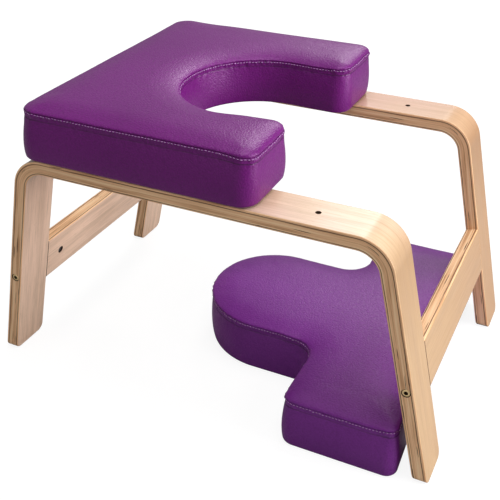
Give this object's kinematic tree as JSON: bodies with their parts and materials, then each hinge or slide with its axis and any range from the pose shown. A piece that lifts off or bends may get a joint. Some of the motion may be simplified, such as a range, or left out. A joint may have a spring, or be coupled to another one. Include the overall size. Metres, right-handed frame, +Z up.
{
  "type": "yoga headstand stool",
  "caption": "Headstand stool with bent plywood side frames, a horseshoe shoulder pad on top and a loose T-shaped insert pad stored on the floor underneath.",
  "frame": {"origin": "on the floor, in the middle of the four feet in both directions; the underside of the stored insert pad covers this point", "axes": "+X towards the front, where the horseshoe pad opens; +Y towards the left side of someone facing the front; +Z up"},
  "size_m": [0.625, 0.426, 0.3848],
  "materials": {
    "lacquered_plywood": "satin",
    "plain_wood": "matte",
    "purple_leather": "satin",
    "foam": "matte",
    "lining_cloth": "matte",
    "brassed_steel": "satin",
    "zinc_steel": "satin"
  },
  "bodies": {
    "stool": {"side_frame_right": "lacquered_plywood", "side_frame_left": "lacquered_plywood", "stretcher_front": "lacquered_plywood", "stretcher_rear": "lacquered_plywood", "stretcher_bolt_front_right": "brassed_steel", "stretcher_bolt_front_left": "brassed_steel", "stretcher_bolt_rear_right": "brassed_steel", "stretcher_bolt_rear_left": "brassed_steel", "barrel_nut_front_right": "zinc_steel", "barrel_nut_front_left": "zinc_steel", "barrel_nut_rear_right": "zinc_steel", "barrel_nut_rear_left": "zinc_steel", "dowel_front_right_upper": "plain_wood", "dowel_front_right_lower": "plain_wood", "dowel_front_left_upper": "plain_wood", "dowel_front_left_lower": "plain_wood", "dowel_rear_right_upper": "plain_wood", "dowel_rear_right_lower": "plain_wood", "dowel_rear_left_upper": "plain_wood", "dowel_rear_left_lower": "plain_wood", "shoulder_pad_cover": "purple_leather", "shoulder_pad_foam": "foam", "shoulder_pad_board": "plain_wood", "shoulder_pad_lining": "lining_cloth", "shoulder_pad_tee_nut_front_right": "zinc_steel", "shoulder_pad_tee_nut_front_left": "zinc_steel", "shoulder_pad_tee_nut_rear_right": "zinc_steel", "shoulder_pad_tee_nut_rear_left": "zinc_steel", "shoulder_pad_bolt_front_right": "zinc_steel", "shoulder_pad_bolt_front_left": "zinc_steel", "shoulder_pad_bolt_rear_right": "zinc_steel", "shoulder_pad_bolt_rear_left": "zinc_steel", "shoulder_pad_washer_front_right": "zinc_steel", "shoulder_pad_washer_front_left": "zinc_steel", "shoulder_pad_washer_rear_right": "zinc_steel", "shoulder_pad_washer_rear_left": "zinc_steel"},
    "insert_pad": {"insert_pad_cover": "purple_leather", "insert_pad_foam": "foam", "insert_pad_board": "plain_wood", "insert_pad_lining": "lining_cloth", "insert_pad_tee_nut_right": "zinc_steel", "insert_pad_tee_nut_left": "zinc_steel"}
  },
  "joints": [
    {"name": "insert_pad_slide", "type": "slide", "parent": "stool", "child": "insert_pad", "axis": [0, 1, 0], "range_m": [-0.44, 0.42]}
  ]
}
